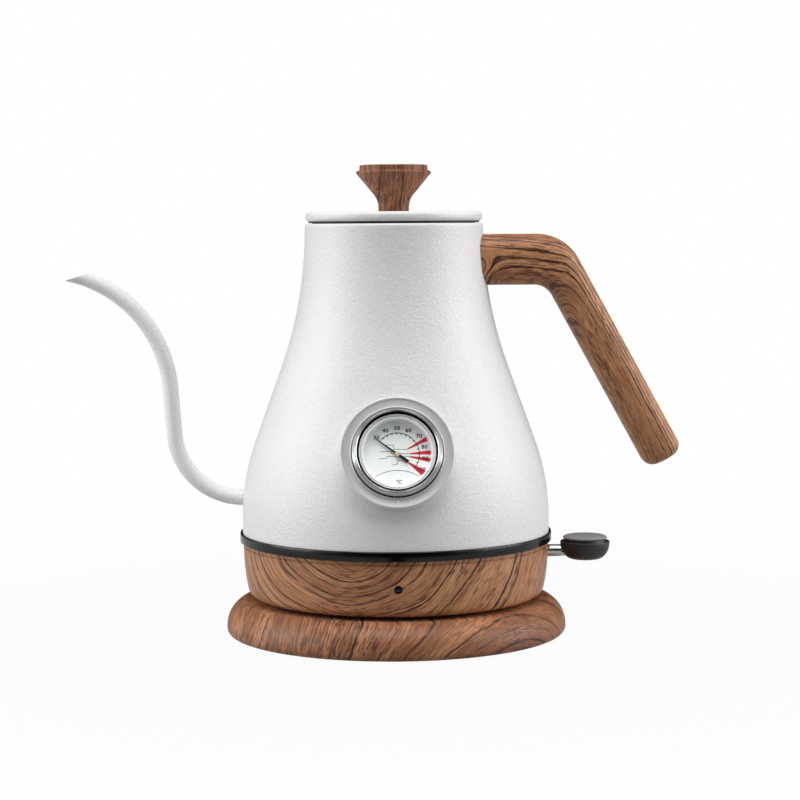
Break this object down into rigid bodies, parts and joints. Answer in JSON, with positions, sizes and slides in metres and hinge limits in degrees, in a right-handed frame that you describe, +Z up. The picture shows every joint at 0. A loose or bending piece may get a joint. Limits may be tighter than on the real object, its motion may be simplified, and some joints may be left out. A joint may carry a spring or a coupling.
{
  "type": "gooseneck kettle",
  "caption": "Electric gooseneck pour-over kettle with dial thermometer, wood-effect handle and lower housing, on a cordless power base.",
  "frame": {"origin": "kettle axis, on the plane that the rubber foot ring stands on", "axes": "+Z up, dial towards -Y, spout towards -X, handle and switch lever towards +X"},
  "size_m": [0.3035, 0.1688, 0.2329],
  "materials": {
    "wood_effect": "satin wood-effect film on moulded plastic",
    "knob_wood": "oiled turned wood",
    "white_paint": "fine textured white paint on steel",
    "black_plastic": "matt",
    "black_trim": "satin black",
    "grey_pad": "matt",
    "dark_lens": "clear gloss",
    "lamp_glass": "clear",
    "steel": "brushed",
    "satin_metal": "satin",
    "chrome": "polished",
    "aluminium": "raw",
    "brass": "plain",
    "rubber": "matt",
    "wire": "plain",
    "glass": "clear",
    "dial_face": "printed satin white",
    "needle_black": "satin black"
  },
  "bodies": {
    "power_base": {"base_shell": "wood_effect", "base_bottom_plate": "black_plastic", "base_foot_ring": "rubber", "base_screws": "steel", "base_connector": "black_plastic", "connector_screws": "steel", "base_contacts": "brass", "base_wires": "wire", "cord_gland": "rubber", "cord_clamp": "black_plastic"},
    "kettle_contacts": {"contact_pin": "brass", "contact_rings": "brass"},
    "kettle": {"control_body": "black_plastic", "control_screws": "steel", "bimetal_disc": "chrome", "heating_plate": "aluminium", "heating_element": "steel", "element_terminals": "chrome", "pot_bottom": "steel", "body_shell": "white_paint", "spout": "white_paint", "trim_ring": "black_trim", "lower_housing": "wood_effect", "bottom_cover": "black_plastic", "housing_screws": "steel", "steam_tube": "steel", "steam_switch": "black_plastic", "indicator_lens": "dark_lens", "indicator_lamp": "lamp_glass", "internal_wires": "wire", "lever_bracket": "steel", "lever_pin": "steel", "handle_grip": "wood_effect", "handle_bracket": "steel", "handle_screw": "steel", "gauge_flange": "satin_metal", "gauge_gasket": "rubber", "gauge_case": "steel", "gauge_bezel": "chrome", "gauge_glass": "glass", "gauge_seal_ring": "black_trim", "gauge_inner_ring": "chrome", "gauge_dial": "dial_face", "gauge_stem": "steel", "bimetal_coil": "brass", "gauge_washer": "steel", "gauge_nut": "steel"},
    "switch_lever": {"lever_rod": "steel", "lever_paddle": "black_trim", "paddle_pad": "grey_pad"},
    "needle": {"gauge_needle": "needle_black", "needle_hub": "brass"},
    "lid": {"lid_top": "white_paint", "lid_pan": "steel", "lid_seal": "rubber", "lid_knob": "knob_wood", "knob_screw": "steel", "knob_washer": "steel"}
  },
  "joints": [
    {"name": "kettle_lift", "type": "slide", "parent": "power_base", "child": "kettle_contacts", "axis": [0, 0, 1], "range_m": [0, 0.06]},
    {"name": "kettle_swivel", "type": "hinge", "parent": "kettle_contacts", "child": "kettle", "pos_m": [0, 0, 0.034], "axis": [0, 0, 1], "continuous": true},
    {"name": "lid_lift", "type": "slide", "parent": "kettle", "child": "lid", "axis": [0, 0, 1], "range_m": [0, 0.05]},
    {"name": "lever_trip", "type": "hinge", "parent": "kettle", "child": "switch_lever", "pos_m": [0.053, 0, 0.0408], "axis": [0, 1, 0], "range_deg": [0, 7]},
    {"name": "needle_sweep", "type": "hinge", "parent": "kettle", "child": "needle", "pos_m": [0, -0.06928, 0.0972], "axis": [0, 0.9409, -0.3387], "range_deg": [0, 182]}
  ]
}
